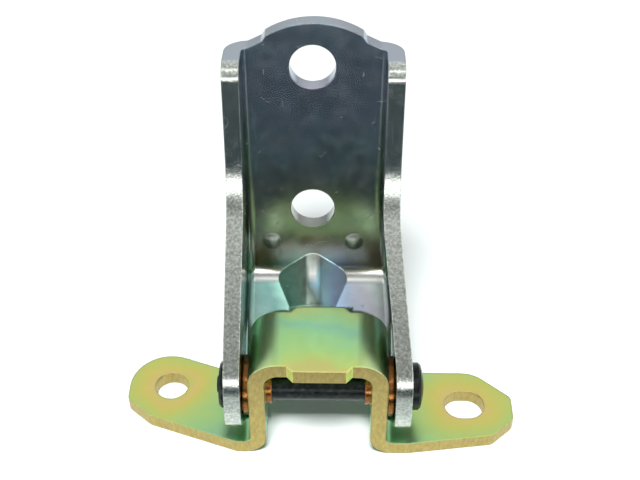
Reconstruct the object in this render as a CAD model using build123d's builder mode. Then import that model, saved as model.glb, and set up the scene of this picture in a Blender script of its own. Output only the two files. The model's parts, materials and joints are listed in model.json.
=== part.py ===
# A two-leaf strap hinge for a truck door.  The body bracket is a hat-shaped pressing that
# stands on two drilled feet, and the door bracket is a U-shaped pressing that turns on a
# pin through the legs of the hat.  Millimetres and degrees.
# X runs along the pin, +Y points away from the side that the channel is open to, +Z is up.
# The origin lies on the mounting face, under the middle of the pin.
import os
from math import asin, cos, radians, sin, sqrt, tan

from build123d import *

os.makedirs("parts", exist_ok=True)

# Both pressings
sheet = 4.2

# Pin and bushes
pin_height = 17.2         # pin axis above the mounting face
pin_diameter = 8.0
head_diameter = 12.6
head_thickness = 2.8
head_dome = 0.9
rim_chamfer = 0.6
staked_thickness = 2.0
stub_diameter = 5.2
stub_length = 0.7
bush_wall = 1.0
running_clearance = 0.03  # between pin and bush, on the radius
bush_flange_diameter = 16.0
bush_flange_thickness = 1.8
bush_protrusion = 1.6     # of the barrel inside the hat
thrust_clearance = 0.15   # between bush flange and ear

# Body bracket: the hat
hat_half_width = 18.1     # over the legs
bridge_rise = 18.5        # bridge top above the pin axis
hat_half_depth = 9.35
bridge_bend = 8.0         # outer radius of the bridge corners
foot_bend = 2.0           # inner radius where a leg meets its foot
tab_shift = 0.4           # tabs left by the blanking, front and back of the bridge
front_tab_width = 13.4
rear_tab_width = 12.6
tab_flank = 1.6           # how far each tab side slopes out towards its root
tab_depth = 1.8

# Body bracket: the left foot, round about its hole
left_hole_x = -41.5
left_hole_y = 9.8
left_hole_diameter = 9.2
left_end_radius = 10.9
left_tip_x = -53.3
left_tip_front_y = 5.0
left_front_x = -46.6
left_front_y = -0.7
left_root_x = -22.0       # where the front edge runs in to the leg
left_rear_angle = 20.0    # of the straight rear edge
left_rear_y = 25.4        # where the rear edge would meet the tip

# Body bracket: the right foot, with a slot for adjustment
slot_x = 40.3
slot_y = 4.2
slot_length = 11.0
slot_width = 9.4
right_rear_x = 43.6
right_rear_y = 15.5
right_rear_radius = 9.0
right_tip_x = 53.5
right_tip_rear_y = 6.9
right_tip_front_y = -0.6
right_front_x = 47.3
right_front_y = -6.2
right_root_x = 24.0
foot_corner = 2.2
foot_root_x = 22.0        # where the rear edges turn in to the legs
foot_shoulder_x = 27.5
foot_root_radius = 3.0

# Door bracket, measured from the pin axis in a frame that leans with its web
lean = 9.0                # web behind upright
channel_half_width = 21.9
channel_shift = -1.6      # channel centre from the hat's centre
ear_flat_height = 12.0    # the ears are parallel up to here
flare_height = 45.0       # and the flanges reach the channel's width here
flare_radius = 60.0
web_front = 25.4
flange_depth = 11.0       # of the upper flange, in front of the web
flange_top = 85.8
flange_top_radius = 4.0
flange_waist = 53.2       # where upright and slanted flange edges would meet
flange_waist_radius = 28.0
ear_front = 11.8
ear_nose = 9.4            # where slanted and upright ear edges would meet
ear_nose_radius = 12.0
ear_bottom = 9.8
ear_radius = 10.3
channel_bend = 2.0        # inner radius between web and flange
apron_bend = 6.5          # inner radius between web and the 45 degree apron below it
apron_offset = 7.0        # apron front plane: this far behind the pin at its height
swing_clearance = 0.5     # between the turning apron and the hat
tongue_half_width = 12.0
tongue_corner = 88.9
tongue_top = 92.3
tongue_side_run = 0.9     # the sides of the tongue slope out this far
shoulder_top = 87.5       # down to the shoulders
shoulder_run = 3.5        # which fall to the tops of the flanges
door_hole_diameter = 11.6
door_hole_lower = 39.8
door_hole_spacing = 41.0
web_centre = -2.0         # holes, dart and dimples from the hat's centre
dart_apex = 26.0          # where a sharp ridge would meet the web
dart_angle = 34.8         # between dart ridge and web
dart_slope = 22.8         # of each dart face
dart_ridge_radius = 6.0
dart_length = 20.0        # along the ridge, far enough to run out at the apron's edge
dimple_height = 29.1
dimple_half_spacing = 11.1
dimple_diameter = 4.9
dimple_rise = 0.8

# Sizes that follow from the ones above
leg_inner = hat_half_width - sheet
bridge_top = pin_height + bridge_rise
bush_bore = pin_diameter / 2 + running_clearance
bush_radius = bush_bore + bush_wall
bush_flange_outer = hat_half_width + bush_flange_thickness
ear_inner = bush_flange_outer + thrust_clearance
ear_outer = ear_inner + sheet
web_back = web_front + sheet
apron_back_offset = apron_offset + sheet * sqrt(2)
corner_reach = sqrt(bridge_rise**2 + hat_half_depth**2)
tab_reach = sqrt(bridge_rise**2 + (hat_half_depth + tab_depth) ** 2)
tab_half_width = max(front_tab_width, rear_tab_width) / 2 + tab_flank
swing_half_width = hat_half_width + swing_clearance
bush_swing_radius = bush_flange_diameter / 2 + swing_clearance
beyond = 60.0             # longer than any cut needs

# The leaning frame of the door bracket: X along the pin, Y behind it, Z up the web
web_up = Vector(0, sin(radians(lean)), cos(radians(lean)))
web_rear = Vector(0, cos(radians(lean)), -sin(radians(lean)))
pin_centre = Vector(0, 0, pin_height)
pin_axis = Axis(pin_centre, (1, 0, 0))
side_plane = Plane(origin=pin_centre, x_dir=web_rear, z_dir=(1, 0, 0))
front_plane = Plane(origin=pin_centre, x_dir=(1, 0, 0), z_dir=-web_rear)


def on_web(across, rear, up):
    """A place in the leaning frame."""
    return pin_centre + Vector(across, 0, 0) + web_rear * rear + web_up * up


# Body bracket: the hat section, cut to its plan outline
with BuildPart() as body_bracket:
    with BuildSketch(Plane.XZ):
        with BuildLine():
            upper = FilletPolyline(
                (-beyond, sheet),
                (-hat_half_width, sheet),
                (-hat_half_width, bridge_top),
                (hat_half_width, bridge_top),
                (hat_half_width, sheet),
                (beyond, sheet),
                radius=[foot_bend, bridge_bend, bridge_bend, foot_bend],
            )
            lower = FilletPolyline(
                (-beyond, 0),
                (-leg_inner, 0),
                (-leg_inner, bridge_top - sheet),
                (leg_inner, bridge_top - sheet),
                (leg_inner, 0),
                (beyond, 0),
                radius=[foot_bend + sheet, bridge_bend - sheet, bridge_bend - sheet, foot_bend + sheet],
            )
            Line(upper @ 0, lower @ 0)
            Line(upper @ 1, lower @ 1)
        make_face()
    extrude(amount=beyond, both=True)

    left_shoulder_y = left_rear_y + (left_tip_x + foot_shoulder_x) * tan(radians(left_rear_angle))
    with BuildSketch():
        Rectangle(2 * hat_half_width, 2 * hat_half_depth)
        # left foot
        with BuildLine():
            FilletPolyline(
                (left_root_x, -hat_half_depth),
                (-hat_half_width, -hat_half_depth),
                (-hat_half_width, hat_half_depth),
                (-foot_root_x, hat_half_depth),
                (-foot_shoulder_x, left_shoulder_y),
                (left_tip_x, left_rear_y),
                (left_tip_x, left_tip_front_y),
                (left_front_x, left_front_y),
                radius=[
                    0, 0, 0, foot_root_radius, foot_root_radius, left_end_radius, foot_corner, foot_root_radius,
                ],
                close=True,
            )
        make_face()
        # right foot
        with BuildLine():
            FilletPolyline(
                (right_root_x, -hat_half_depth),
                (hat_half_width, -hat_half_depth),
                (hat_half_width, hat_half_depth),
                (foot_root_x, hat_half_depth),
                (foot_shoulder_x, right_rear_y),
                (right_rear_x, right_rear_y),
                (right_tip_x, right_tip_rear_y),
                (right_tip_x, right_tip_front_y),
                (right_front_x, right_front_y),
                radius=[
                    0, 0, 0, foot_root_radius, foot_root_radius, right_rear_radius, foot_corner, foot_corner,
                    foot_root_radius,
                ],
                close=True,
            )
        make_face()
        # tabs on the bridge
        for side, width in ((-1, front_tab_width), (1, rear_tab_width)):
            root = side * hat_half_depth
            with BuildLine():
                Polyline(
                    (tab_shift - width / 2 - tab_flank, root),
                    (tab_shift - width / 2, root + side * tab_depth),
                    (tab_shift + width / 2, root + side * tab_depth),
                    (tab_shift + width / 2 + tab_flank, root),
                    close=True,
                )
            make_face()
    extrude(amount=beyond, mode=Mode.INTERSECT)

    # bores for the bushes, through both legs
    with BuildSketch(Plane.YZ):
        with Locations((0, pin_height)):
            Circle(bush_radius)
    extrude(amount=beyond, both=True, mode=Mode.SUBTRACT)
    with Locations((left_hole_x, left_hole_y, sheet)):
        Hole(left_hole_diameter / 2)
    with BuildSketch():
        with Locations((slot_x, slot_y)):
            SlotOverall(slot_length, slot_width)
    extrude(amount=sheet, mode=Mode.SUBTRACT)
body_bracket.part.label = "body_bracket"
export_step(body_bracket.part, "parts/body_bracket.step")


def channel_block(inset):
    """The door bracket as if solid in front of its web, with all faces this far inside."""
    half_width = channel_half_width - inset
    half_ears = ear_outer - inset
    rear = web_back - inset
    slant = apron_back_offset - inset * sqrt(2)
    with BuildPart() as block:
        with BuildSketch(side_plane):
            with BuildLine():
                FilletPolyline(
                    (-beyond, 2 * beyond),
                    (-beyond, -beyond - slant),
                    (rear, rear - slant),
                    (rear, 2 * beyond),
                    radius=[0, 0, apron_bend + sheet - inset, 0],
                    close=True,
                )
            make_face()
        extrude(amount=beyond, both=True)
        with BuildSketch(front_plane):
            with BuildLine():
                FilletPolyline(
                    (channel_shift - half_width, 2 * beyond),
                    (channel_shift - half_width, flare_height),
                    (-half_ears, ear_flat_height),
                    (-half_ears, -2 * beyond),
                    (half_ears, -2 * beyond),
                    (half_ears, ear_flat_height),
                    (channel_shift + half_width, flare_height),
                    (channel_shift + half_width, 2 * beyond),
                    radius=[0, flare_radius, flare_radius, 0, 0, flare_radius, flare_radius, 0],
                    close=True,
                )
            make_face()
        extrude(amount=2 * beyond, both=True, mode=Mode.INTERSECT)
        fillet(block.edges().filter_by(is_rear_bend), channel_bend + sheet - inset)
    return block.part


def is_rear_bend(edge):
    """True for the edges between the flanges and the web or the apron."""
    place = side_plane.to_local_coords(edge.center())
    behind = place.X > web_front - apron_bend or place.X - place.Y > apron_offset - 1
    return behind and abs(place.Z) > channel_half_width / 2 and abs((edge % 0.5).X) < 0.5


# What the hat and the bush flanges need clear as the bracket swings
with BuildPart() as swing_room:
    with BuildSketch(Plane.XY.offset(pin_height)):
        Rectangle(2 * ear_inner, 2 * bush_swing_radius)
        RectangleRounded(
            2 * swing_half_width, 2 * (corner_reach + swing_clearance), bridge_bend + swing_clearance,
        )
        with Locations((tab_shift, 0)):
            Rectangle(2 * (tab_half_width + swing_clearance), 2 * (tab_reach + swing_clearance))
        Rectangle(2 * beyond, beyond, align=(Align.CENTER, Align.MAX), mode=Mode.SUBTRACT)
    revolve(axis=pin_axis)


def dart_outline(depth):
    """Cross-section of the dart, down to this depth under its ridge."""
    half_width = depth / tan(radians(dart_slope))
    return FilletPolyline(
        (0, 0), (-half_width, -depth), (half_width, -depth), radius=[dart_ridge_radius, 0, 0], close=True,
    )


def halfway_up(rim, rise):
    """Radius and height of the point halfway from the rim to the top of a shallow ball cap."""
    ball = (rim**2 + rise**2) / (2 * rise)
    half_angle = asin(rim / ball) / 2
    return ball * sin(half_angle), ball * cos(half_angle) - ball + rise


def dimple_outline():
    """Half section of a dimple."""
    rim = dimple_diameter / 2
    radius, height = halfway_up(rim, dimple_rise)
    cap = ThreePointArc((rim, 0), (radius, -height), (0, -dimple_rise))
    return Polyline(cap @ 1, (0, 0), cap @ 0)


# Door bracket: the outer block cut to its outlines and hollowed out
with BuildPart() as door_bracket:
    add(channel_block(0))
    with BuildSketch(side_plane):
        with BuildLine():
            FilletPolyline(
                (web_back, tongue_top + sheet),
                (web_front, tongue_top + sheet),
                (web_front, flange_top),
                (web_front - flange_depth, flange_top),
                (web_front - flange_depth, flange_waist),
                (-ear_front, ear_nose),
                (-ear_front, -ear_bottom),
                (apron_back_offset - ear_bottom, -ear_bottom),
                (web_back, web_back - apron_back_offset),
                radius=[0, 0, 0, flange_top_radius, flange_waist_radius, ear_nose_radius, ear_radius, ear_radius, 0],
                close=True,
            )
        make_face()
    extrude(amount=beyond, both=True, mode=Mode.INTERSECT)
    with BuildSketch(front_plane):
        with BuildLine():
            tongue_foot = tongue_half_width + tongue_side_run
            shoulder = tongue_foot + shoulder_run
            tongue_left = (channel_shift - tongue_half_width, tongue_corner)
            tongue_right = (channel_shift + tongue_half_width, tongue_corner)
            Polyline(
                tongue_left,
                (channel_shift - tongue_foot, shoulder_top),
                (channel_shift - shoulder, flange_top),
                (-beyond, flange_top),
                (-beyond, 2 * beyond),
                (beyond, 2 * beyond),
                (beyond, flange_top),
                (channel_shift + shoulder, flange_top),
                (channel_shift + tongue_foot, shoulder_top),
                tongue_right,
            )
            ThreePointArc(tongue_right, (channel_shift, tongue_top), tongue_left)
        make_face()
    extrude(amount=beyond, both=True, mode=Mode.SUBTRACT)
    add(channel_block(sheet), mode=Mode.SUBTRACT)
    # the dart across the bend, raised in front and hollow behind
    ridge = -web_rear * sin(radians(dart_angle)) - web_up * cos(radians(dart_angle))
    dart_plane = Plane(origin=on_web(web_centre, web_front, dart_apex), x_dir=(1, 0, 0), z_dir=ridge)
    dart_back = Plane(origin=dart_plane.origin - dart_plane.y_dir * sheet, x_dir=(1, 0, 0), z_dir=ridge)
    for plane, depth, mode in ((dart_plane, sheet, Mode.ADD), (dart_back, 3 * sheet, Mode.SUBTRACT)):
        with BuildSketch(plane):
            with BuildLine():
                dart_outline(depth)
            make_face()
        extrude(amount=dart_length, mode=mode)
    # two dimples above it, punched from behind
    for side in (-1, 1):
        for rear, mode in ((web_front, Mode.ADD), (web_back, Mode.SUBTRACT)):
            centre = on_web(web_centre + side * dimple_half_spacing, rear, dimple_height)
            with BuildSketch(Plane(origin=centre, x_dir=(1, 0, 0), z_dir=web_up)):
                with BuildLine():
                    dimple_outline()
                make_face()
            revolve(axis=Axis(centre, web_rear), mode=mode)
    with BuildSketch(front_plane):
        with Locations((web_centre, door_hole_lower), (web_centre, door_hole_lower + door_hole_spacing)):
            Circle(door_hole_diameter / 2)
    extrude(amount=-beyond, mode=Mode.SUBTRACT)
    add(swing_room.part, mode=Mode.SUBTRACT)
    with BuildSketch(side_plane):
        Circle(pin_diameter / 2)
    extrude(amount=beyond, both=True, mode=Mode.SUBTRACT)
door_bracket.part.label = "door_bracket"
export_step(door_bracket.part, "parts/door_bracket.step")

# Pin: a domed head on the right, and on the left an end that is staked over in assembly
with BuildPart() as hinge_pin:
    with BuildSketch(Plane.XZ):
        with BuildLine():
            head_end = ear_outer + head_thickness
            staked_end = -ear_outer - staked_thickness
            head_top = pin_height + head_diameter / 2
            dome_rim = head_diameter / 2 - rim_chamfer
            dome_radius, dome_height = halfway_up(dome_rim, head_dome)
            dome = ThreePointArc(
                (head_end, pin_height + dome_rim),
                (head_end + dome_height, pin_height + dome_radius),
                (head_end + head_dome, pin_height),
            )
            Polyline(
                dome @ 0,
                (head_end - rim_chamfer, head_top),
                (ear_outer, head_top),
                (ear_outer, pin_height + pin_diameter / 2),
                (-ear_outer, pin_height + pin_diameter / 2),
                (-ear_outer, head_top),
                (staked_end + rim_chamfer, head_top),
                (staked_end, head_top - rim_chamfer),
                (staked_end, pin_height + stub_diameter / 2),
                (staked_end - stub_length, pin_height + stub_diameter / 2 - stub_length / 2),
                (staked_end - stub_length, pin_height),
                dome @ 1,
            )
        make_face()
    revolve(axis=pin_axis)
hinge_pin.part.label = "hinge_pin"
export_step(hinge_pin.part, "parts/hinge_pin.step")

# Bushes: pressed into the legs from outside, their flanges against the ears
for name, side in (("bush_left", -1), ("bush_right", 1)):
    with BuildPart() as bush:
        with BuildSketch(Plane.XZ):
            with BuildLine():
                Polyline(
                    (side * (leg_inner - bush_protrusion), pin_height + bush_bore),
                    (side * (leg_inner - bush_protrusion), pin_height + bush_radius),
                    (side * hat_half_width, pin_height + bush_radius),
                    (side * hat_half_width, pin_height + bush_flange_diameter / 2),
                    (side * bush_flange_outer, pin_height + bush_flange_diameter / 2),
                    (side * bush_flange_outer, pin_height + bush_bore),
                    close=True,
                )
            make_face()
        revolve(axis=pin_axis)
    bush.part.label = name
    export_step(bush.part, f"parts/{name}.step")
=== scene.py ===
# %% [markdown]
# This lesson dresses a truck door hinge: a yellow zinc hat bracket that stands on two feet,
# and a silver zinc channel that swings on a black pin between two bronze bushes.  The
# shapes come finished from the frame, so everything here is about light, camera and metal.

# %% Load the frame
import json
from math import radians, sin

import bmesh
import bpy
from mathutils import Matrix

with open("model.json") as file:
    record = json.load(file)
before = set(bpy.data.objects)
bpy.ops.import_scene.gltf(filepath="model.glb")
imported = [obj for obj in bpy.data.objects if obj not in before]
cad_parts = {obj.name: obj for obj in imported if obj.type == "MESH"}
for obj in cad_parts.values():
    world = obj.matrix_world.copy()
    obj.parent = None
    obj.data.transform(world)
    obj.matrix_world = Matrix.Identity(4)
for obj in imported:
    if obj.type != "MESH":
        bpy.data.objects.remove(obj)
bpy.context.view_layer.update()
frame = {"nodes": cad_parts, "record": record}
mounts = {mount["name"]: mount["pos_m"] for mount in frame["record"]["mounts"]}
print("nodes:", sorted(frame["nodes"]))
print("mounts:", sorted(mounts))

# %% [markdown]
# Sizes are written in millimetres, as on a drawing, and colours as hex values, as a paint
# chart gives them.  Blender works in metres and in linear light, so a factor and a small
# function convert them, and every later cell can stay in the units a maker would use.

# %% Units and colours
MM = 0.001


def linear(hex_colour, alpha=1.0):
    """An sRGB hex colour as the linear RGBA that a socket takes."""
    channels = [int(hex_colour[i:i + 2], 16) / 255 for i in (1, 3, 5)]
    curve = [c / 12.92 if c <= 0.04045 else ((c + 0.055) / 1.055) ** 2.4 for c in channels]
    return (*curve, alpha)


print("mid grey in linear light:", [round(c, 3) for c in linear("#808080")[:3]])

# %% [markdown]
# A material is a small tree of nodes.  One helper adds a node, gives it its settings and
# wires its inputs, so that each finish below reads as a list of what it is made of.  An
# input goes by its name, or by its number where several share a name.  Map Range and the
# colour Mix are such nodes, so their numbers get names here.  In a Math node 0 and 1 are
# the two terms, and 2 is what Multiply Add adds.  In a Mix Shader 0 is the share, and 1
# and 2 are the two shaders.

# %% The node helper
VALUE, LOW, HIGH, TO_LOW, TO_HIGH = range(5)
SHARE, FIRST, SECOND = 0, 6, 7
MIXED = 2


def add(tree, kind, inputs=None, stops=None, **settings):
    """Add a node; an input is either a value or a socket to wire in."""
    node = tree.nodes.new(kind)
    for name, value in settings.items():
        setattr(node, name, value)
    for name, value in (inputs or {}).items():
        if isinstance(value, bpy.types.NodeSocket):
            tree.links.new(value, node.inputs[name])
        else:
            node.inputs[name].default_value = value
    if stops:
        ramp = node.color_ramp.elements
        while len(ramp) < len(stops):
            ramp.new(1.0)
        for element, (place, colour) in zip(ramp, stops):
            element.position = place
            element.color = colour
    return node


def new_material(name):
    """An empty material and its node tree, ready for nodes."""
    material = bpy.data.materials.new(name)
    material.use_nodes = True
    material.node_tree.nodes.clear()
    return material, material.node_tree


print("helpers ready")

# %% [markdown]
# The photograph looks down at the hinge from in front at about 43 degrees.  The camera
# stands where the sizes of the near and far holes agree with their places in the picture,
# about 0.3 m away, and a focal length of 1100 pixels on a 640 pixel frame fits them.  A
# camera further off with a longer lens would make the near feet too small.

# %% Camera
PHOTO_WIDTH = 640
FOCAL_PIXELS = 1100
CAMERA_PLACE = (3.1 * MM, -187.8 * MM, 246.5 * MM)
CAMERA_DOWN = 43.17
CAMERA_TURN = 0.83

camera = bpy.data.objects.new("camera", bpy.data.cameras.new("camera"))
camera.data.lens = FOCAL_PIXELS / PHOTO_WIDTH * camera.data.sensor_width
camera.data.clip_start = 10 * MM
camera.location = CAMERA_PLACE
camera.rotation_euler = (radians(90 - CAMERA_DOWN), 0, radians(CAMERA_TURN))
bpy.context.scene.collection.objects.link(camera)
bpy.context.scene.camera = camera
print("lens", round(camera.data.lens, 1), "mm")

# %% [markdown]
# Bare metal has no light and dark of its own: it shows the room.  In the photograph a
# bright window stands low in front and a lit ceiling high above it, with a duller wall
# between, and the wall behind is white.  Lamps could stand in for each of them, but a
# world painted by direction gives soft borders and stays easy to tune.  Only the metal
# sees it: the paper is lit by an even grey, and the camera sees white.

# %% The room
BACKDROP = linear("#fbfffe")
EVEN_LIGHT = 0.24

room = bpy.data.worlds.new("room")
bpy.context.scene.world = room
room.use_nodes = True
tree = room.node_tree
tree.nodes.clear()
direction = add(tree, "ShaderNodeTexCoord").outputs["Generated"]
parts = add(tree, "ShaderNodeSeparateXYZ", {0: direction}).outputs
height = add(tree, "ShaderNodeMapRange", {VALUE: parts["Z"], LOW: -1.0, HIGH: 1.0}).outputs[0]


def level(degrees):
    """Where an elevation lies on the height ramp."""
    return (sin(radians(degrees)) + 1) / 2


def grey(value):
    """A neutral colour of this linear brightness."""
    return (value, value, value, 1)


front = add(tree, "ShaderNodeValToRGB", {0: height}, stops=[
    (level(-2), grey(0.12)), (level(2), grey(3.8)), (level(11), grey(3.8)),
    (level(16), grey(0.5)), (level(21), grey(0.3)), (level(32), grey(0.3)),
    (level(37), grey(1.0)), (level(50), grey(0.9)), (level(60), grey(0.65)),
    (level(65), grey(2.6)), (level(71), grey(2.6)), (level(76), grey(0.9)),
    (1.0, grey(0.7)),
])
back = add(tree, "ShaderNodeValToRGB", {0: height}, stops=[
    (level(-5), grey(0.5)), (level(15), grey(0.75)), (level(38), grey(1.0)),
    (level(56), grey(1.0)), (level(65), grey(0.75)), (1.0, grey(0.75)),
])
turn = add(tree, "ShaderNodeMapRange", {
    VALUE: parts["Y"], LOW: -0.35, HIGH: 0.35,
}, interpolation_type="SMOOTHSTEP")
walls = add(tree, "ShaderNodeMix", {
    SHARE: turn.outputs[0], FIRST: front.outputs[0], SECOND: back.outputs[0],
}, data_type="RGBA")
path = add(tree, "ShaderNodeLightPath").outputs
mirrored = add(tree, "ShaderNodeBackground", {"Color": walls.outputs[MIXED]})
soft = add(tree, "ShaderNodeBackground", {"Color": grey(EVEN_LIGHT)})
seen = add(tree, "ShaderNodeBackground", {"Color": BACKDROP})
lit = add(tree, "ShaderNodeMixShader", {
    0: path["Is Glossy Ray"], 1: soft.outputs[0], 2: mirrored.outputs[0],
})
either = add(tree, "ShaderNodeMixShader", {
    0: path["Is Camera Ray"], 1: lit.outputs[0], 2: seen.outputs[0],
})
add(tree, "ShaderNodeOutputWorld", {"Surface": either.outputs[0]})
print("room painted with", len(tree.nodes), "nodes")

# %% [markdown]
# The hinge stands on a sheet of white paper.  A single plate is enough for it, made far
# larger than the picture.  In front of the paper lies a dark table, which only the metal
# sees: it is why a silver plate can look nearly black.  Far from the hinge the paper
# fades into the white of the background, so that no horizon shows.

# %% The sheet of paper
SHEET_HALF_WIDTH = 2000
TABLE_EDGE = -80
PAPER_EDGE = -22
FADE_START = 200
FADE_END = 500

sheet = bmesh.new()
bmesh.ops.create_grid(sheet, x_segments=1, y_segments=1, size=SHEET_HALF_WIDTH * MM)
mesh = bpy.data.meshes.new("paper")
sheet.to_mesh(mesh)
sheet.free()
floor = bpy.data.objects.new("paper", mesh)
bpy.context.scene.collection.objects.link(floor)

white_paper, tree = new_material("white_paper")
place = add(tree, "ShaderNodeTexCoord").outputs["Object"]
path = add(tree, "ShaderNodeLightPath").outputs
forward = add(tree, "ShaderNodeSeparateXYZ", {0: place}).outputs["Y"]
table = add(tree, "ShaderNodeMapRange", {
    VALUE: forward, LOW: TABLE_EDGE * MM, HIGH: PAPER_EDGE * MM, TO_LOW: 1, TO_HIGH: 0,
}, interpolation_type="SMOOTHSTEP")
mirrored = add(tree, "ShaderNodeMath", {
    0: table.outputs[0], 1: path["Is Glossy Ray"],
}, operation="MULTIPLY")
paper = add(tree, "ShaderNodeBsdfDiffuse", {"Color": linear("#cbd1d0")})
dark = add(tree, "ShaderNodeBsdfDiffuse", {"Color": linear("#2f373c")})
laid = add(tree, "ShaderNodeMixShader", {
    0: mirrored.outputs[0], 1: paper.outputs[0], 2: dark.outputs[0],
})
radius = add(tree, "ShaderNodeVectorMath", {0: place}, operation="LENGTH").outputs["Value"]
distant = add(tree, "ShaderNodeMapRange", {
    VALUE: radius, LOW: FADE_START * MM, HIGH: FADE_END * MM,
}, interpolation_type="SMOOTHSTEP")
faded = add(tree, "ShaderNodeMath", {
    0: distant.outputs[0], 1: path["Is Camera Ray"],
}, operation="MULTIPLY")
white = add(tree, "ShaderNodeEmission", {"Color": BACKDROP})
either = add(tree, "ShaderNodeMixShader", {
    0: faded.outputs[0], 1: laid.outputs[0], 2: white.outputs[0],
})
add(tree, "ShaderNodeOutputMaterial", {"Surface": either.outputs[0]})
floor.data.materials.append(white_paper)
print("paper laid, dark table in front of y =", PAPER_EDGE, "mm")

# %% [markdown]
# The shadow lies behind the hinge and close round its feet, so the main light comes from
# above the viewer.  One broad lamp stands in for it, far enough away to light the whole
# sheet alike.  The metal doesn't mirror the lamp itself: its room is painted already.

# %% The window lamp
LAMP_WIDTH = 450
LAMP_HEIGHT = 300
LAMP_WATTS = 46
LAMP_PLACE = (-60 * MM, -540 * MM, 1430 * MM)
LAMP_TILT = 20.5
LAMP_TURN = -4

window = bpy.data.objects.new("window", bpy.data.lights.new("window", "AREA"))
window.data.shape = "RECTANGLE"
window.data.size = LAMP_WIDTH * MM
window.data.size_y = LAMP_HEIGHT * MM
window.data.energy = LAMP_WATTS
window.location = LAMP_PLACE
window.rotation_euler = (radians(LAMP_TILT), 0, radians(LAMP_TURN))
window.visible_glossy = False
bpy.context.scene.collection.objects.link(window)
print("lamp", window.data.energy, "W")

# %% [markdown]
# All the patterns below are sized in millimetres.  Noise in Blender has about one blob
# for each unit of its scale, and the coordinates are in metres, so the scale is one over
# the size of a blob.  Object coordinates are used, so that a pattern is part of the metal.

# %% From blob size to scale
def blobs(size):
    """The noise scale that gives blobs of a size in millimetres."""
    return 1 / (size * MM)


print("2 mm blobs need scale", blobs(2))

# %% [markdown]
# The hat bracket is pressed steel, zinc plated and dipped in yellow chromate.  The film is
# about as thick as a wave of light is long, so its gold drifts to green and pink like oil
# on water.  It is thinnest along the front of the bridge, where the bath drained off:
# the colour there runs from gold over yellow-green to a bluish green behind.  A shader
# could work the film's colours out from its thickness, but a ramp over the depth puts
# each colour where the real one has it, and slow noise bends its bands.

# %% Yellow chromate over the bridge
HAT_HALF_DEPTH = 11

yellow_zinc, tree = new_material("yellow_chromate_zinc_steel")
coordinates = add(tree, "ShaderNodeTexCoord").outputs
place = coordinates["Object"]
facing = add(tree, "ShaderNodeSeparateXYZ", {0: coordinates["Normal"]}).outputs
spot = add(tree, "ShaderNodeSeparateXYZ", {0: place}).outputs

drift = add(tree, "ShaderNodeTexNoise", {"Vector": place, "Scale": blobs(13), "Detail": 2.0})
bend = add(tree, "ShaderNodeMapRange", {
    VALUE: drift.outputs["Fac"], LOW: 0.3, HIGH: 0.7, TO_LOW: -0.16, TO_HIGH: 0.16,
})
depth = add(tree, "ShaderNodeMapRange", {
    VALUE: spot["Y"], LOW: -HAT_HALF_DEPTH * MM, HIGH: HAT_HALF_DEPTH * MM,
})
film = add(tree, "ShaderNodeMath", {0: depth.outputs[0], 1: bend.outputs[0]}, operation="ADD")
bridge = add(tree, "ShaderNodeValToRGB", {0: film.outputs[0]}, stops=[
    (0.02, linear("#e8e28a")), (0.14, linear("#dcee8a")), (0.34, linear("#c8f39a")),
    (0.52, linear("#bdf0a8")), (0.66, linear("#afe8bd")), (0.78, linear("#c2f0ac")),
    (1.0, linear("#dcef9c")),
])
outward = add(tree, "ShaderNodeMath", {0: spot["X"]}, operation="ABSOLUTE")
# The paler green on the bridge's rounded corners is partly film colour and partly a painted
# highlight, which lifts corners that mirror a darker part of the room.
corner_light_share = add(tree, "ShaderNodeMapRange", {
    VALUE: outward.outputs[0], LOW: 8 * MM, HIGH: 15 * MM, TO_LOW: 0.0, TO_HIGH: 0.85,
}, interpolation_type="SMOOTHSTEP")
corners_lightened = add(tree, "ShaderNodeMix", {
    SHARE: corner_light_share.outputs[0], FIRST: bridge.outputs[0], SECOND: linear("#d4f2ba"),
}, data_type="RGBA")
print("bridge runs from gold to green")

# %% [markdown]
# On the feet the colour runs in rings round each hole, gold at the rim, then orange-pink,
# then yellow-green out to the leg.  Vector Math measures the distance from a hole's axis:
# subtract the centre, keep two of the three directions, take the length.  The nearer
# hole counts.  The centres come from the drawing's mounts, so the rings can't miss them.

# %% Rings round the foot holes
def to_nearer(tree, place, centres, directions):
    """A node with the distance to the nearer of two centres, along the given directions."""
    reaches = []
    for centre in centres:
        away = add(tree, "ShaderNodeVectorMath", {0: place, 1: centre}, operation="SUBTRACT")
        flat = add(tree, "ShaderNodeVectorMath", {
            0: away.outputs[0], 1: directions,
        }, operation="MULTIPLY")
        reach = add(tree, "ShaderNodeVectorMath", {0: flat.outputs[0]}, operation="LENGTH")
        reaches.append(reach.outputs["Value"])
    return add(tree, "ShaderNodeMath", {0: reaches[0], 1: reaches[1]}, operation="MINIMUM")


foot_holes = [mounts["left_foot_hole"], mounts["right_foot_slot"]]
to_hole = to_nearer(tree, place, foot_holes, (1, 1, 0))
outer = add(tree, "ShaderNodeMapRange", {VALUE: to_hole.outputs[0], LOW: 4 * MM, HIGH: 24 * MM})
ripple = add(tree, "ShaderNodeMath", {0: bend.outputs[0], 1: 0.6}, operation="MULTIPLY")
ringed = add(tree, "ShaderNodeMath", {0: outer.outputs[0], 1: ripple.outputs[0]}, operation="ADD")
feet = add(tree, "ShaderNodeValToRGB", {0: ringed.outputs[0]}, stops=[
    (0.03, linear("#cbca70")), (0.1, linear("#d8c47c")), (0.17, linear("#d3c970")),
    (0.3, linear("#c6cd72")), (0.45, linear("#b6d080")), (0.65, linear("#a6d08a")),
    (0.9, linear("#9bcb9a")),
])
climb = add(tree, "ShaderNodeMapRange", {
    VALUE: spot["Z"], LOW: 8 * MM, HIGH: 26 * MM,
}, interpolation_type="SMOOTHSTEP")
colour = add(tree, "ShaderNodeMix", {
    SHARE: climb.outputs[0], FIRST: feet.outputs[0], SECOND: corners_lightened.outputs[MIXED],
}, data_type="RGBA")
print("rings round", len(foot_holes), "holes")

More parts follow.
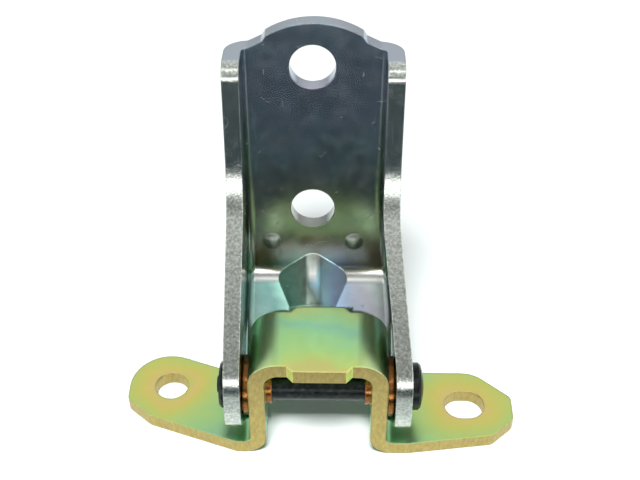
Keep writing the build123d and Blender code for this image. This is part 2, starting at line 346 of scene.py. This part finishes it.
# %% [markdown]
# A sheared edge shows fine upright streaks from the punch, and its film is a plainer
# yellow.  A second material on those faces would need the mesh changed, so the shader
# finds them by their direction: the front and back of the hat face along Y, and round
# the feet the walls are upright and further out than the legs.

# %% Sheared edges of the hat bracket
along_y = add(tree, "ShaderNodeMath", {0: facing["Y"]}, operation="ABSOLUTE")
along_z = add(tree, "ShaderNodeMath", {0: facing["Z"]}, operation="ABSOLUTE")
hat_edge = add(tree, "ShaderNodeMapRange", {VALUE: along_y.outputs[0], LOW: 0.75, HIGH: 0.9})
upright = add(tree, "ShaderNodeMapRange", {VALUE: along_z.outputs[0], LOW: 0.5, HIGH: 0.3})
on_foot = add(tree, "ShaderNodeMapRange", {
    VALUE: outward.outputs[0], LOW: 26 * MM, HIGH: 27 * MM,
})
foot_edge = add(tree, "ShaderNodeMath", {
    0: upright.outputs[0], 1: on_foot.outputs[0],
}, operation="MULTIPLY")
sheared = add(tree, "ShaderNodeMath", {
    0: hat_edge.outputs[0], 1: foot_edge.outputs[0],
}, operation="MAXIMUM")
streak_place = add(tree, "ShaderNodeVectorMath", {
    0: place, 1: (1, 1, 0.4),
}, operation="MULTIPLY")
streaks = add(tree, "ShaderNodeTexNoise", {
    "Vector": streak_place.outputs[0], "Scale": blobs(0.7), "Detail": 4.0,
})
edge_colour = add(tree, "ShaderNodeValToRGB", {0: streaks.outputs["Fac"]}, stops=[
    (0.3, linear("#a6935a")), (0.5, linear("#b19e60")), (0.7, linear("#bcaa6c")),
])
yellow = add(tree, "ShaderNodeMix", {
    SHARE: sheared.outputs[0], FIRST: colour.outputs[MIXED], SECOND: edge_colour.outputs[0],
}, data_type="RGBA")
print("edges found by direction")

# %% [markdown]
# Plated steel is satin, not mirror bright: the plating copies the fine grain of the rolled
# sheet.  Two sizes of noise give that: a grain, drawn at half a millimetre because the
# real one is too fine to show, and soft waves of three.  The Bevel node rounds the light
# on the edges, which really are broken by tumbling in the plating barrel.  Roughness
# stays above 0.275, because the denoiser treats metal above and below that differently,
# and noise that crosses it leaves marks.

# %% Grain and gloss of the hat bracket
grain = add(tree, "ShaderNodeTexNoise", {"Vector": place, "Scale": blobs(0.5), "Detail": 1.0})
waves = add(tree, "ShaderNodeTexNoise", {"Vector": place, "Scale": blobs(3), "Detail": 2.0})
rubbed = add(tree, "ShaderNodeMapRange", {
    VALUE: waves.outputs["Fac"], LOW: 0.3, HIGH: 0.7, TO_LOW: 0.29, TO_HIGH: 0.35,
})
edge_gloss = add(tree, "ShaderNodeMapRange", {
    VALUE: sheared.outputs[0], TO_LOW: 0.0, TO_HIGH: 0.08,
})
rough = add(tree, "ShaderNodeMath", {
    0: rubbed.outputs[0], 1: edge_gloss.outputs[0],
}, operation="ADD")
round_edge = add(tree, "ShaderNodeBevel", {"Radius": 0.7 * MM}, samples=6)
wavy = add(tree, "ShaderNodeBump", {
    "Strength": 0.4, "Distance": 0.04 * MM,
    "Height": waves.outputs["Fac"], "Normal": round_edge.outputs[0],
})
grainy = add(tree, "ShaderNodeBump", {
    "Strength": 0.06, "Distance": 0.012 * MM,
    "Height": grain.outputs["Fac"], "Normal": wavy.outputs[0],
})
surface = add(tree, "ShaderNodeBsdfPrincipled", {
    "Base Color": yellow.outputs[MIXED], "Metallic": 1.0,
    "Roughness": rough.outputs[0], "Normal": grainy.outputs[0],
})
add(tree, "ShaderNodeOutputMaterial", {"Surface": surface.outputs[0]})
print("yellow chromate:", len(tree.nodes), "nodes")

# %% [markdown]
# The door channel is zinc plated with a clear blue chromate: silver, with a breath of
# blue high on the web and of green lower down.  Its film is thin, so the tint is weak.
# A ramp over the height gives it, slow noise bends its bands, and a paler stain in soft
# clouds keeps any part of the web from being one flat colour.

# %% Blue zinc on the web
blue_zinc, tree = new_material("blue_chromate_zinc_steel")
coordinates = add(tree, "ShaderNodeTexCoord").outputs
place = coordinates["Object"]
facing = add(tree, "ShaderNodeSeparateXYZ", {0: coordinates["Normal"]}).outputs
spot = add(tree, "ShaderNodeSeparateXYZ", {0: place}).outputs

drift = add(tree, "ShaderNodeTexNoise", {"Vector": place, "Scale": blobs(12), "Detail": 2.0})
bend = add(tree, "ShaderNodeMapRange", {
    VALUE: drift.outputs["Fac"], LOW: 0.3, HIGH: 0.7, TO_LOW: -0.12, TO_HIGH: 0.12,
})
climb = add(tree, "ShaderNodeMapRange", {VALUE: spot["Z"], LOW: 34 * MM, HIGH: 104 * MM})
film = add(tree, "ShaderNodeMath", {0: climb.outputs[0], 1: bend.outputs[0]}, operation="ADD")
web = add(tree, "ShaderNodeValToRGB", {0: film.outputs[0]}, stops=[
    (0.0, linear("#a9a89e")), (0.1, linear("#8c948b")), (0.24, linear("#868e89")),
    (0.38, linear("#9caaa6")), (0.52, linear("#a9bfc2")), (0.72, linear("#b4bccb")),
    (1.0, linear("#aebfca")),
])
cloud = add(tree, "ShaderNodeTexNoise", {"Vector": place, "Scale": blobs(5), "Detail": 1.0})
stain = add(tree, "ShaderNodeMapRange", {
    VALUE: cloud.outputs["Fac"], LOW: 0.25, HIGH: 0.75, TO_LOW: 0.0, TO_HIGH: 0.35,
})
stained = add(tree, "ShaderNodeMix", {
    SHARE: stain.outputs[0], FIRST: web.outputs[0], SECOND: linear("#c4b9bd"),
}, data_type="RGBA")
print("web runs from green-grey low down to blue at the top")

# %% [markdown]
# On the slanted apron and the dart, where the bath ran off, the film is thicker and its
# colours are plain to see: green-blue on the left, violet on the right.  The flanges
# beside them have them too, so the ramp runs across the whole bracket.

# %% Thicker film on the apron
across = add(tree, "ShaderNodeMapRange", {VALUE: spot["X"], LOW: -20 * MM, HIGH: 16 * MM})
sideways = add(tree, "ShaderNodeMath", {0: bend.outputs[0], 1: 0.6}, operation="MULTIPLY")
run = add(tree, "ShaderNodeMath", {0: across.outputs[0], 1: sideways.outputs[0]}, operation="ADD")
apron = add(tree, "ShaderNodeValToRGB", {0: run.outputs[0]}, stops=[
    (0.0, linear("#90b0a8")), (0.2, linear("#6c9c96")), (0.34, linear("#b4ecd8")),
    (0.44, linear("#c4e4d6")), (0.5, linear("#71867c")), (0.56, linear("#a4d8ea")),
    (0.68, linear("#98b2d8")), (0.78, linear("#8596a8")), (0.9, linear("#94969f")),
    (1.0, linear("#9caaa6")),
])
low = add(tree, "ShaderNodeMapRange", {
    VALUE: spot["Z"], LOW: 42 * MM, HIGH: 32 * MM, TO_LOW: 0.0, TO_HIGH: 0.9,
}, interpolation_type="SMOOTHSTEP")
tinted = add(tree, "ShaderNodeMix", {
    SHARE: low.outputs[0], FIRST: stained.outputs[MIXED], SECOND: apron.outputs[0],
}, data_type="RGBA")
print("apron runs from green-blue to violet")

# %% [markdown]
# The bend between web and apron mirrors the bright room, and a painted highlight makes it
# nearly white in its colour as well.  Its faces are the ones that tilt between the two
# without facing sideways.  The dart's ridge tilts too, so faces close to the middle count
# only where the dart ends in the bend, near its top.

# %% Painted highlight on the bend
channel_middle = mounts["door_bolt_holes"][0]

along_x = add(tree, "ShaderNodeMath", {0: facing["X"]}, operation="ABSOLUTE")
tilt = add(tree, "ShaderNodeMapRange", {VALUE: facing["Z"], LOW: 0.18, HIGH: 0.34})
steep = add(tree, "ShaderNodeMapRange", {VALUE: facing["Z"], LOW: 0.8, HIGH: 0.72})
straight = add(tree, "ShaderNodeMapRange", {VALUE: along_x.outputs[0], LOW: 0.25, HIGH: 0.12})
under = add(tree, "ShaderNodeMapRange", {VALUE: spot["Z"], LOW: 37 * MM, HIGH: 34 * MM})
from_ridge = add(tree, "ShaderNodeMath", {0: spot["X"], 1: -channel_middle}, operation="ADD")
beside = add(tree, "ShaderNodeMath", {0: from_ridge.outputs[0]}, operation="ABSOLUTE")
clear = add(tree, "ShaderNodeMapRange", {VALUE: beside.outputs[0], LOW: 4 * MM, HIGH: 5 * MM})
tilted = add(tree, "ShaderNodeMath", {
    0: tilt.outputs[0], 1: steep.outputs[0],
}, operation="MULTIPLY")
in_bend = add(tree, "ShaderNodeMath", {
    0: straight.outputs[0], 1: under.outputs[0],
}, operation="MULTIPLY")
apex = add(tree, "ShaderNodeMapRange", {VALUE: spot["Z"], LOW: 32 * MM, HIGH: 34 * MM})
reached = add(tree, "ShaderNodeMath", {
    0: clear.outputs[0], 1: apex.outputs[0],
}, operation="MAXIMUM")
off_dart = add(tree, "ShaderNodeMath", {
    0: in_bend.outputs[0], 1: reached.outputs[0],
}, operation="MULTIPLY")
bend_faces = add(tree, "ShaderNodeMath", {
    0: tilted.outputs[0], 1: off_dart.outputs[0],
}, operation="MULTIPLY")
# Painted highlight: the bend faces get a near-white colour that stands for the bright room they
# mirror.
highlight_painted = add(tree, "ShaderNodeMix", {
    SHARE: bend_faces.outputs[0], FIRST: tinted.outputs[MIXED], SECOND: linear("#f0f4ee"),
}, data_type="RGBA")
print("bend polished")

# %% [markdown]
# The two dimples were struck by a punch, and they mirror the bright ceiling.  A painted
# shade darkens their colour and more roughness dulls them, to tone that highlight down.
# The distance from a dimple's centre, measured flat on the web, finds them.

# %% Painted shade on the dimples
DIMPLE_HALF_SPACING = 11.1
DIMPLE_HEIGHT = 42

dimples = [
    (channel_middle + side * DIMPLE_HALF_SPACING * MM, 0, DIMPLE_HEIGHT * MM)
    for side in (-1, 1)
]
to_dimple = to_nearer(tree, place, dimples, (1, 0, 1))
# Painted shade: the same share darkens the dimples' colour and raises their roughness.
dimple_shade_and_rough = add(tree, "ShaderNodeMapRange", {
    VALUE: to_dimple.outputs[0], LOW: 3 * MM, HIGH: 2.2 * MM, TO_LOW: 0.0, TO_HIGH: 0.8,
})
dimple_shaded = add(tree, "ShaderNodeMix", {
    SHARE: dimple_shade_and_rough.outputs[0], FIRST: highlight_painted.outputs[MIXED], SECOND: linear("#7f887e"),
}, data_type="RGBA")
print(len(dimples), "dimples dulled")

# %% [markdown]
# The blank was cut before it was bent, so its edges show shear: a torn, speckled face.
# On the flanges those edges lie within the thickness of the sheet and don't face
# sideways, and that is how the shader finds them.  The channel shifts and widens towards
# the ears, so the place of its walls depends on the height.

# %% Sheared edges of the door channel
EARS_TOP = 29 * MM
CHANNEL_FOOT = 61 * MM

level_face = add(tree, "ShaderNodeMapRange", {VALUE: along_x.outputs[0], LOW: 0.35, HIGH: 0.2})
shift = add(tree, "ShaderNodeMapRange", {
    VALUE: spot["Z"], LOW: EARS_TOP, HIGH: CHANNEL_FOOT, TO_LOW: 0.0, TO_HIGH: 1.6 * MM,
})
wall = add(tree, "ShaderNodeMapRange", {
    VALUE: spot["Z"], LOW: EARS_TOP, HIGH: CHANNEL_FOOT, TO_LOW: 19.7 * MM, TO_HIGH: 17.4 * MM,
})
from_middle = add(tree, "ShaderNodeMath", {0: spot["X"], 1: shift.outputs[0]}, operation="ADD")
aside = add(tree, "ShaderNodeMath", {0: from_middle.outputs[0]}, operation="ABSOLUTE")
in_wall = add(tree, "ShaderNodeMath", {
    0: aside.outputs[0], 1: wall.outputs[0],
}, operation="GREATER_THAN")
in_front = add(tree, "ShaderNodeMapRange", {VALUE: spot["Y"], LOW: 32 * MM, HIGH: 30 * MM})
wall_edge = add(tree, "ShaderNodeMath", {
    0: level_face.outputs[0], 1: in_wall.outputs[0],
}, operation="MULTIPLY")
sheared = add(tree, "ShaderNodeMath", {
    0: wall_edge.outputs[0], 1: in_front.outputs[0],
}, operation="MULTIPLY")
speckle = add(tree, "ShaderNodeTexNoise", {
    "Vector": place, "Scale": blobs(0.7), "Detail": 4.0, "Roughness": 0.6,
})
torn = add(tree, "ShaderNodeValToRGB", {0: speckle.outputs["Fac"]}, stops=[
    (0.34, linear("#a4aaa3")), (0.5, linear("#bfc5bd")), (0.66, linear("#d8dcd5")),
])
plated = add(tree, "ShaderNodeMix", {
    SHARE: sheared.outputs[0], FIRST: dimple_shaded.outputs[MIXED], SECOND: torn.outputs[0],
}, data_type="RGBA")
print("sheared edges set")

# %% [markdown]
# The scratches of shelf wear are few, short and thin.  Painted strokes would need an
# image, so they are the borders of large Voronoi cells, bent by noise, and a second noise
# leaves only short pieces of them.  Voronoi measures in cells, so a width in millimetres
# is divided by the size of a cell.

# %% Scratches on the door channel
SCRATCH_CELL = 10
SCRATCH_CORE = 0.04
SCRATCH_REACH = 0.12

wander = add(tree, "ShaderNodeTexNoise", {"Vector": place, "Scale": blobs(6), "Detail": 1.0})
bent = add(tree, "ShaderNodeVectorMath", {
    0: wander.outputs["Color"], 1: (5 * MM, 5 * MM, 5 * MM),
}, operation="MULTIPLY")
strayed = add(tree, "ShaderNodeVectorMath", {0: place, 1: bent.outputs[0]}, operation="ADD")
cells = add(tree, "ShaderNodeTexVoronoi", {
    "Vector": strayed.outputs[0], "Scale": blobs(SCRATCH_CELL),
}, feature="DISTANCE_TO_EDGE")
thin = add(tree, "ShaderNodeMapRange", {
    VALUE: cells.outputs["Distance"],
    LOW: SCRATCH_REACH / SCRATCH_CELL, HIGH: SCRATCH_CORE / SCRATCH_CELL,
})
pieces = add(tree, "ShaderNodeTexNoise", {"Vector": place, "Scale": blobs(2.5), "Detail": 2.0})
kept = add(tree, "ShaderNodeMapRange", {VALUE: pieces.outputs["Fac"], LOW: 0.6, HIGH: 0.7})
scratch = add(tree, "ShaderNodeMath", {0: thin.outputs[0], 1: kept.outputs[0]}, operation="MULTIPLY")
print("scratches up to", 2 * SCRATCH_REACH, "mm wide")

# %% [markdown]
# Grain and gloss as before, but glossier, and here all below the denoiser's border except
# in scratches and dimples.  The torn edges get a stronger bump, of a few hundredths of a
# millimetre, which breaks the reflections up into bright and dark specks.

# %% Grain and gloss of the door channel
grain = add(tree, "ShaderNodeTexNoise", {"Vector": place, "Scale": blobs(0.5), "Detail": 1.0})
waves = add(tree, "ShaderNodeTexNoise", {"Vector": place, "Scale": blobs(3.2), "Detail": 2.0})
rubbed = add(tree, "ShaderNodeMapRange", {
    VALUE: waves.outputs["Fac"], LOW: 0.3, HIGH: 0.7, TO_LOW: 0.18, TO_HIGH: 0.24,
})
scratched = add(tree, "ShaderNodeMath", {
    0: scratch.outputs[0], 1: 0.16, 2: rubbed.outputs[0],
}, operation="MULTIPLY_ADD")
dulled = add(tree, "ShaderNodeMath", {
    0: dimple_shade_and_rough.outputs[0], 1: 0.2, 2: scratched.outputs[0],
}, operation="MULTIPLY_ADD")
round_edge = add(tree, "ShaderNodeBevel", {"Radius": 0.5 * MM}, samples=4)
wavy = add(tree, "ShaderNodeBump", {
    "Strength": 0.4, "Distance": 0.04 * MM,
    "Height": waves.outputs["Fac"], "Normal": round_edge.outputs[0],
})
grainy = add(tree, "ShaderNodeBump", {
    "Strength": 0.08, "Distance": 0.014 * MM,
    "Height": grain.outputs["Fac"], "Normal": wavy.outputs[0],
})
tears = add(tree, "ShaderNodeMath", {
    0: speckle.outputs["Fac"], 1: sheared.outputs[0],
}, operation="MULTIPLY")
ragged = add(tree, "ShaderNodeBump", {
    "Strength": 0.5, "Distance": 0.06 * MM,
    "Height": tears.outputs[0], "Normal": grainy.outputs[0],
})
surface = add(tree, "ShaderNodeBsdfPrincipled", {
    "Base Color": plated.outputs[MIXED], "Metallic": 1.0,
    "Roughness": dulled.outputs[0], "Normal": ragged.outputs[0],
})
add(tree, "ShaderNodeOutputMaterial", {"Surface": surface.outputs[0]})
print("blue chromate:", len(tree.nodes), "nodes")

# %% [markdown]
# The pin is black oxide steel, turned from bar: almost black with an oily sheen.  Rings
# from the lathe tool run round it.  Real grooves would take thousands of faces, so a bump
# stands in: noise that changes quickly along the pin and slowly across it, drawn at a
# quarter of a millimetre, because the real feed marks are too fine to show.

# %% Black oxide on the pin
RING_WIDTH = 0.25
RING_STRETCH = 0.03

black_oxide, tree = new_material("black_oxide_steel")
coordinates = add(tree, "ShaderNodeTexCoord").outputs
place = coordinates["Object"]
mottle = add(tree, "ShaderNodeTexNoise", {
    "Vector": place, "Scale": blobs(1.4), "Detail": 4.0, "Roughness": 0.6,
})
oxide = add(tree, "ShaderNodeValToRGB", {0: mottle.outputs["Fac"]}, stops=[
    (0.35, linear("#1e2322")), (0.55, linear("#2b302f")), (0.75, linear("#3d413d")),
])
ring_place = add(tree, "ShaderNodeVectorMath", {
    0: place, 1: (1, RING_STRETCH, RING_STRETCH),
}, operation="MULTIPLY")
rings = add(tree, "ShaderNodeTexNoise", {
    "Vector": ring_place.outputs[0], "Scale": blobs(RING_WIDTH), "Detail": 2.0,
})
oily = add(tree, "ShaderNodeMapRange", {
    VALUE: mottle.outputs["Fac"], LOW: 0.3, HIGH: 0.7, TO_LOW: 0.29, TO_HIGH: 0.38,
})
round_edge = add(tree, "ShaderNodeBevel", {"Radius": 0.25 * MM}, samples=4)
turned = add(tree, "ShaderNodeBump", {
    "Strength": 0.3, "Distance": 0.01 * MM,
    "Height": rings.outputs["Fac"], "Normal": round_edge.outputs[0],
})
surface = add(tree, "ShaderNodeBsdfPrincipled", {
    "Base Color": oxide.outputs[0], "Metallic": 1.0,
    "Roughness": oily.outputs[0], "Normal": turned.outputs[0],
})
add(tree, "ShaderNodeOutputMaterial", {"Surface": surface.outputs[0]})
print("black oxide:", len(tree.nodes), "nodes")

# %% [markdown]
# The bushes are sintered bronze, pressed from powder and soaked in oil.  The oil makes
# them brown, and the pores between the grains show as dark specks, drawn at half a
# millimetre because real pores are too fine to show.  A pressed flange has a full round
# rim, so its light gathers to one thin line: a wide Bevel gives that.

# %% Sintered bronze on the bushes
PORE_SIZE = 0.5

bronze, tree = new_material("sintered_bronze")
coordinates = add(tree, "ShaderNodeTexCoord").outputs
place = coordinates["Object"]
pores = add(tree, "ShaderNodeTexNoise", {
    "Vector": place, "Scale": blobs(PORE_SIZE), "Detail": 2.0, "Roughness": 0.6,
})
brown = add(tree, "ShaderNodeValToRGB", {0: pores.outputs["Fac"]}, stops=[
    (0.34, linear("#6e4626")), (0.48, linear("#86582e")), (0.7, linear("#9c6a3e")),
])
oily = add(tree, "ShaderNodeMapRange", {
    VALUE: pores.outputs["Fac"], LOW: 0.3, HIGH: 0.7, TO_LOW: 0.24, TO_HIGH: 0.16,
})
round_rim = add(tree, "ShaderNodeBevel", {"Radius": 0.9 * MM}, samples=8)
pitted = add(tree, "ShaderNodeBump", {
    "Strength": 0.3, "Distance": 0.01 * MM,
    "Height": pores.outputs["Fac"], "Normal": round_rim.outputs[0],
})
surface = add(tree, "ShaderNodeBsdfPrincipled", {
    "Base Color": brown.outputs[0], "Metallic": 1.0,
    "Roughness": oily.outputs[0], "Normal": pitted.outputs[0],
})
add(tree, "ShaderNodeOutputMaterial", {"Surface": surface.outputs[0]})
print("sintered bronze:", len(tree.nodes), "nodes")

# %% [markdown]
# Each part of the frame now gets its finish.  Only the material slot is touched: the
# meshes stay as the drawing made them.

# %% Dress the frame
finishes = {
    "body_bracket": yellow_zinc,
    "door_bracket": blue_zinc,
    "hinge_pin": black_oxide,
    "bush_left": bronze,
    "bush_right": bronze,
}
for node, finish in finishes.items():
    slots = frame["nodes"][node].data.materials
    slots.clear()
    slots.append(finish)
print("dressed", len(finishes), "nodes")

# %% [markdown]
# Last, the colours are shown as they are written, with no film curve over them.

# %% Colour
bpy.context.scene.view_settings.view_transform = "Standard"
